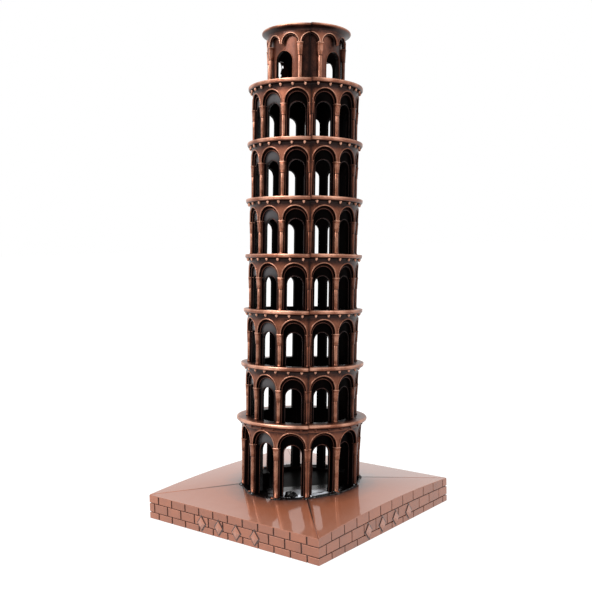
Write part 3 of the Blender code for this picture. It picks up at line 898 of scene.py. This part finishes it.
def painted_reflection_pool(casting):
    """Painted reflection: a pale patch on the floor behind the doorways at the plinth's front corner, brightest at
    its front, with painted shade towards its back.
    """
    across_way = Vector((sin(pi / 4), sin(pi / 4), 0.0))
    front_way = Vector((across_way.y, -across_way.x, 0.0))
    middle = seat_centre()
    sheet = Casting()
    rows = []
    deepest = 14
    for row in range(deepest + 1):
        deep = lerp(4.4, 20.3, row / deepest) * MM
        half = min(13.5 * MM, sqrt((20.6 * MM) ** 2 - deep ** 2))
        points = []
        for step in range(15):
            across = lerp(-half, half, step / 14)
            place = middle + across_way * across + front_way * deep
            on_floor = hypot(across, deep) < FLOOR_RADIUS - 0.2 * MM
            place.z = (SEAT_HEIGHT if on_floor else hip_height(place.x, place.y)) + 0.04 * MM
            points.append(sheet.vertex(place))
        rows.append(points)

    def brightness(row, step):
        ragged = 0.35 * noise.noise(rows[row][step].co * 330.0)
        side = min(step, 14 - step) / 2.0
        return clamp(1.7 * row / deepest - 0.25 + ragged) * min(side, 1.0)

    for row in range(deepest):
        for step in range(14):
            places = ((row, step), (row + 1, step), (row + 1, step + 1), (row, step + 1))
            sheet.face([rows[r][s] for r, s in places], [brightness(r, s) for r, s in places], LACQUER_AND_SHEEN)
    thicken_into(casting, sheet, 0.1 * MM)


def eave(casting, top_loop):
    """From the eave down the thin edge, back to the mortar's face, down to the underside and into it."""
    mortar = (PLINTH_HALF - JOINT_DEPTH) / PLINTH_HALF
    rebate = 38.2 / 40.0
    hollow = 37.0 / 40.0
    levels = (
        (1.0, None, EAVE_EDGE, FACE),
        (mortar, None, EAVE_EDGE + 0.1 * MM, MORTAR),
        (mortar, 0.0, 0.0, MORTAR),
        (rebate, 0.0, 0.0, SHADED),
        (rebate, 1.5 * MM, 0.0, RECESS),
        (hollow, 1.5 * MM, 0.0, RECESS),
        (hollow, DECK_UNDERSIDE, 0.0, RECESS),
    )
    loops = [top_loop]
    for scale, height, drop, _ in levels:
        loops.append([casting.vertex((v.co.x * scale, v.co.y * scale, v.co.z - drop if height is None else height))
                      for v in top_loop])
    casting.rings(loops, [RAISED] + [level[-1] for level in levels])
    casting.fan(loops[-1], (0.0, 0.0, DECK_UNDERSIDE), RECESS)


def eave_line(side, along):
    """Height of the eave along a side; sides 1 and 3 are the bowed ones."""
    point = side_point(side, along, PLINTH_HALF, 0.0)
    return hip_height(point.x, point.y)


def course_line(side, along, level):
    """Height of the line between two courses: level 0 is the underside, 3 is under the eave's edge."""
    if level == 0:
        return 0.0
    if level == 3:
        return eave_line(side, along) - EAVE_EDGE
    bow = 0.65 * MM if side % 2 and level == 2 else 0.0
    heights = (0.0, 2.5 * MM, 5.9 * MM)
    return heights[level] + bow * (1.0 - (along / PLINTH_HALF) ** 2)


def brick(casting, side, start, end, course, joint, corner_start, corner_end):
    """One raised brick with chamfered edges; at a plinth corner its end is mitred to meet the next side's."""
    bed = 0.1 * MM
    chamfer = 0.17 * MM
    back = PLINTH_HALF - JOINT_DEPTH - 0.15 * MM
    front = PLINTH_HALF
    low_gap = bed if course > 0 else 0.0
    high_gap = bed if course < 2 else -0.12 * MM
    first = start if corner_start else start + joint / 2
    last = end if corner_end else end - joint / 2
    rings = []
    for out, inset in ((back, 0.0), (front - chamfer, 0.0), (front, chamfer)):
        ring = []
        for at_end, up in ((False, False), (True, False), (True, True), (False, True)):
            if at_end:
                along = out if corner_end else last - inset
            else:
                along = -out if corner_start else first + inset
            edge = end if at_end else start
            low = course_line(side, edge, course) + low_gap + inset
            high = course_line(side, edge, course + 1) - high_gap - inset
            place = Vector((edge * 300.0, course * 3.1 + up, side * 7.7 + at_end))
            if not (corner_end if at_end else corner_start):
                along += 0.11 * MM * noise.noise(place)
            if 0 < course + up < 3:
                shift = 0.05 * MM * noise.noise(place + Vector((0.0, 0.0, 9.0)))
                low, high = low + shift, high + shift
            ring.append(casting.vertex(side_point(side, along, out, high if up else low)))
        rings.append(ring)
    casting.rings(rings, [MORTAR, DULL, RUBBED])
    tone = 0.09 * noise.noise(Vector((start * 431.0, course * 5.3, side * 2.9)))
    casting.even_face(rings[-1], FACE + 0.01 + tone)
    casting.even_face(list(reversed(rings[0])), MORTAR)


def brick_course(casting, side, course):
    """A course of running bond: the middle course is set off by most of half a brick."""
    length = 7.02 * MM
    shifts = {0: (0.0, 4.7 * MM), 1: (2.05 * MM, -0.9 * MM)}
    shift = shifts[side % 2][course % 2]
    joint = (0.52 if side % 2 == 0 else 0.28) * MM
    steps = [shift + length * step for step in range(-8, 9)]
    cuts = [place for place in steps if abs(place) < PLINTH_HALF - 1.2 * MM]
    cuts = [-PLINTH_HALF] + cuts + [PLINTH_HALF]
    for start, end in zip(cuts, cuts[1:]):
        brick(casting, side, start, end, course, joint, start == cuts[0], end == cuts[-1])


def lozenge(casting, side, along, z):
    """A plain raised lozenge with sloping faces and a small flat top."""
    half_wide, half_tall = 1.9 * MM, 2.5 * MM
    loops, wears = [], []
    # the flat ring round the lozenge's foot darkens towards it: patina in the corner and a painted shadow, so that
    # the relief shows on every side
    for out, scale, wear_and_painted_light in ((-0.3, 1.26, PATINA_AND_SHADE), (0.03, 1.26, PATINA_AND_SHADE), (0.03, 1.02, SHADED), (0.03, 1.0, SHADED),
                             (0.2, 0.98, DULL), (0.27, 0.93, RUBBED), (0.78, 0.42, RUBBED)):
        loops.append([casting.vertex(side_point(side, along + across * half_wide * scale,
                                                PLINTH_HALF + out * MM, z + up * half_tall * scale))
                      for across, up in ((-1, 0), (0, -1), (1, 0), (0, 1))])
        wears.append(wear_and_painted_light)
    casting.rings(loops, wears)
    casting.even_face(loops[-1], RUBBED)
    casting.even_face(list(reversed(loops[0])), INSIDE)


def make_plinth(materials):
    casting = Casting()
    for side in range(4):
        for course in range(3):
            brick_course(casting, side, course)
    casting.merge()
    casting.drop_inner_faces()
    plinth_top(casting)
    for side in range(4):
        for index in range(4):
            lozenge(casting, side, (index - 1.5) * 8.4 * MM, 3.5 * MM)
    plinth = casting.to_object("brick_plinth", sharp=32.0)
    dress(plinth, materials)
    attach(plinth, "root")
    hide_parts("base_casting")
    return plinth


# ---------------- materials

class Nodes:
    """Short helper for building the node tree of a material or of the world."""

    def __init__(self, owner):
        owner.use_nodes = True
        self.owner = owner
        self.tree = owner.node_tree
        self.shader = self.tree.nodes.get("Principled BSDF")

    def shade(self, **values):
        """Set the shader's own sockets; a name has _ for each space."""
        for name, value in values.items():
            self.shader.inputs[name.replace("_", " ")].default_value = value

    def add(self, kind, **settings):
        node = self.tree.nodes.new(kind)
        for key, value in settings.items():
            if key in node.inputs:
                node.inputs[key].default_value = value
            else:
                setattr(node, key, value)
        return node

    def link(self, source, target):
        self.tree.links.new(source, target)

    def noise(self, scale, detail=3.0, roughness=0.55, stretch=None):
        place = self.add("ShaderNodeTexCoord").outputs["Object"]
        if stretch:
            mapping = self.add("ShaderNodeMapping", Scale=stretch)
            self.link(place, mapping.inputs["Vector"])
            place = mapping.outputs["Vector"]
        node = self.add("ShaderNodeTexNoise", Scale=scale, Detail=detail, Roughness=roughness)
        self.link(place, node.inputs["Vector"])
        return node.outputs["Fac"]

    def math(self, operation, first, second, clamp=False):
        node = self.add("ShaderNodeMath", operation=operation, use_clamp=clamp)
        for socket, value in zip(node.inputs, (first, second)):
            if isinstance(value, (int, float)):
                socket.default_value = value
            else:
                self.link(value, socket)
        return node.outputs[0]

    def swing(self, value, amount):
        """Centre a 0 to 1 value on 0 and scale it."""
        return self.math("MULTIPLY", self.math("SUBTRACT", value, 0.5), amount)

    def blend(self, first, share, second):
        return self.math("ADD", self.math("MULTIPLY", first, share), self.math("MULTIPLY", second, 1.0 - share))

    def span(self, value, low, high, **settings):
        """Map a 0 to 1 value to a range."""
        node = self.add("ShaderNodeMapRange", **{"To Min": low, "To Max": high}, **settings)
        self.link(value, node.inputs["Value"])
        return node.outputs["Result"]

    def ramp(self, value, stops):
        node = self.add("ShaderNodeValToRGB")
        elements = node.color_ramp.elements
        while len(elements) < len(stops):
            elements.new(0.5)
        for element, (position, color) in zip(elements, stops):
            element.position = position
            element.color = (*color, 1.0)
        self.link(value, node.inputs["Fac"])
        return node.outputs["Color"]

    def bump(self, height, strength, distance):
        node = self.add("ShaderNodeBump", Strength=strength, Distance=distance)
        self.link(height, node.inputs["Height"])
        self.link(node.outputs["Normal"], self.shader.inputs["Normal"])


def antique_copper(name, stops, metallic, roughness, coat, spread, brushed=False, specular=0.5):
    """Copper plate under dark patina: the attribute of wear and painted light says where the patina has been rubbed
    away, and in places it also carries painted shade, painted sheen and painted reflection.
    """
    n = Nodes(bpy.data.materials.new(name))
    wear_and_painted_light = n.add("ShaderNodeAttribute", attribute_name="wear_and_painted_light").outputs["Fac"]
    patches = n.noise(260.0, 4.0, 0.6)
    grain = n.noise(1900.0, 3.0, 0.6)
    spots, fine = n.swing(patches, spread), n.swing(grain, spread * 0.6)
    rubbed = n.math("ADD", n.math("ADD", wear_and_painted_light, spots), fine, clamp=True)
    n.link(n.ramp(rubbed, stops), n.shader.inputs["Base Color"])
    n.link(n.span(n.blend(patches, 0.6, grain), roughness - 0.09, roughness + 0.12), n.shader.inputs["Roughness"])
    n.shade(Metallic=metallic, Specular_IOR_Level=specular, Coat_Weight=coat, Coat_Roughness=0.05, Coat_IOR=1.5)
    surface = n.blend(grain, 0.5, n.noise(420.0, 2.0, 0.5, stretch=(1.0, 1.0, 14.0))) if brushed else grain
    n.bump(surface, 0.25, 0.05 * MM)
    return n.owner


def foam_material():
    n = Nodes(bpy.data.materials.new("black_foam"))
    cells = n.noise(2600.0, 2.0, 0.7)
    n.link(n.ramp(cells, ((0.3, (0.008, 0.008, 0.009)), (0.75, (0.03, 0.03, 0.032)))),
           n.shader.inputs["Base Color"])
    n.shade(Roughness=0.92)
    n.bump(cells, 0.8, 0.15 * MM)
    return n.owner


def steel_material():
    n = Nodes(bpy.data.materials.new("zinc_plated_steel"))
    patches = n.noise(700.0)
    n.link(n.ramp(patches, ((0.3, (0.42, 0.42, 0.4)), (0.7, (0.62, 0.61, 0.58)))), n.shader.inputs["Base Color"])
    n.shade(Metallic=1.0)
    n.link(n.span(patches, 0.22, 0.42), n.shader.inputs["Roughness"])
    n.bump(n.noise(3000.0), 0.2, 0.03 * MM)
    return n.owner


def dress_cad_nodes():
    """The pad and the screws keep their CAD shape and get a finished material."""
    for names, material in ((("base_pad",), foam_material()),
                            (("fixing_screw_left", "fixing_screw_right"), steel_material())):
        for name in names:
            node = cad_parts[name]
            node.data.materials.clear()
            node.data.materials.append(material)


# ---------------- stage

def make_floor():
    bpy.ops.mesh.primitive_circle_add(vertices=96, radius=3.0, fill_type="NGON")
    floor = bpy.context.object
    floor.name = "floor"
    n = Nodes(bpy.data.materials.new("pale_floor"))
    n.shade(Base_Color=(0.12, 0.12, 0.12, 1.0), Roughness=0.9, Specular_IOR_Level=0.0,
            Emission_Color=(1.0, 1.0, 1.0, 1.0), Emission_Strength=1.0)
    floor.data.materials.append(n.owner)


def make_camera():
    """The photograph's view: from the plinth's front corner, a little above the middle of the tower."""
    azimuth, pitch, roll = radians(39.57), radians(4.99), radians(-1.6)
    distance, shift, height = 330.1 * MM, 0.4 * MM, 110.1 * MM
    back = Vector((sin(azimuth), -cos(azimuth), 0.0))
    right = Vector((cos(azimuth), sin(azimuth), 0.0))
    forward = -back * cos(pitch) - Vector((0.0, 0.0, sin(pitch)))
    up = right.cross(forward)
    turned_right = right * cos(roll) + up * sin(roll)
    turned_up = up * cos(roll) - right * sin(roll)
    rotation = Matrix((turned_right, turned_up, -forward)).transposed().to_4x4()
    place = back * distance + right * shift + Vector((0.0, 0.0, height))
    data = bpy.data.cameras.new("camera")
    data.lens = 54.2
    data.sensor_width = 36.0
    data.clip_start = 0.01
    camera = bpy.data.objects.new("camera", data)
    camera.matrix_world = Matrix.Translation(place) @ rotation
    bpy.context.scene.collection.objects.link(camera)
    bpy.context.scene.camera = camera


def softbox(name, azimuth, elevation, distance, size, power):
    """Square area light that faces the tower's middle; azimuth 0 is in front, towards -Y."""
    a, e = radians(azimuth), radians(elevation)
    way = Vector((sin(a) * cos(e), -cos(a) * cos(e), sin(e)))
    data = bpy.data.lights.new(name, "AREA")
    data.shape = "SQUARE"
    data.size = size
    data.energy = power
    light = bpy.data.objects.new(name, data)
    light.location = way * distance + Vector((0.0, 0.0, 0.08))
    light.rotation_euler = way.to_track_quat("Z", "Y").to_euler()
    bpy.context.scene.collection.objects.link(light)


def make_world():
    """White studio: bright behind and above, dimmer on the camera's side so that the metal has contrast."""
    world = bpy.data.worlds.new("studio")
    bpy.context.scene.world = world
    n = Nodes(world)
    n.tree.nodes.clear()
    front = radians(39.6)
    toward = n.add("ShaderNodeVectorMath", operation="DOT_PRODUCT")
    toward.inputs[1].default_value = (sin(front), -cos(front), -0.25)
    n.link(n.add("ShaderNodeTexCoord").outputs["Generated"], toward.inputs[0])
    strength = n.span(toward.outputs["Value"], 1.0, 0.3, interpolation_type="SMOOTHSTEP",
                      **{"From Min": -0.35, "From Max": 0.75})
    studio, white = (n.add("ShaderNodeBackground", Color=(1.0, 1.0, 1.0, 1.0)) for _ in range(2))
    n.link(strength, studio.inputs["Strength"])
    seen = n.add("ShaderNodeLightPath").outputs["Is Camera Ray"]
    mix = n.add("ShaderNodeMixShader")
    for source, target in zip((seen, studio.outputs[0], white.outputs[0]), mix.inputs):
        n.link(source, target)
    n.link(mix.outputs[0], n.add("ShaderNodeOutputWorld").inputs["Surface"])


def make_stage():
    make_floor()
    make_camera()
    make_world()
    softbox("key_light", -15.0, 38.0, 0.9, 0.5, 9.0)
    softbox("fill_light", 95.0, 25.0, 1.0, 0.6, 2.5)
    bpy.context.scene.view_settings.view_transform = "Standard"


def main():
    black = (0.0009, 0.0006, 0.0006)
    brown = (0.024, 0.009, 0.007)
    rust = (0.12, 0.040, 0.023)
    copper = (0.22, 0.078, 0.043)
    dark_stops = ((0.0, black), (0.25, brown), (0.5, rust))
    tower = antique_copper("antique_copper_tower", dark_stops + ((0.72, copper), (1.0, (0.64, 0.33, 0.225))),
                           0.86, 0.38, 0.08, 0.42)
    plinth = antique_copper("antique_copper_plinth",
                            dark_stops + ((0.73, (0.34, 0.104, 0.045)), (1.0, (0.40, 0.182, 0.125))),
                            0.35, 0.48, 1.0, 0.16, brushed=True)
    patina = antique_copper("black_patina", ((0.0, black), (0.3, brown), (1.0, rust)),
                            0.0, 0.36, 0.0, 0.1, specular=0.01)
    # pooled lacquer; its pale end is painted reflection and painted glints
    lacquer_and_sheen = antique_copper("pooled_lacquer_and_painted_sheen", ((0.0, black), (0.3, (0.125, 0.115, 0.12)), (1.0, (0.84, 0.88, 0.95))),
                             0.0, 0.22, 0.0, 0.05, specular=0.35)
    make_tower((tower, patina, lacquer_and_sheen))
    make_plinth((plinth, patina, lacquer_and_sheen))
    dress_cad_nodes()
    make_stage()


main()
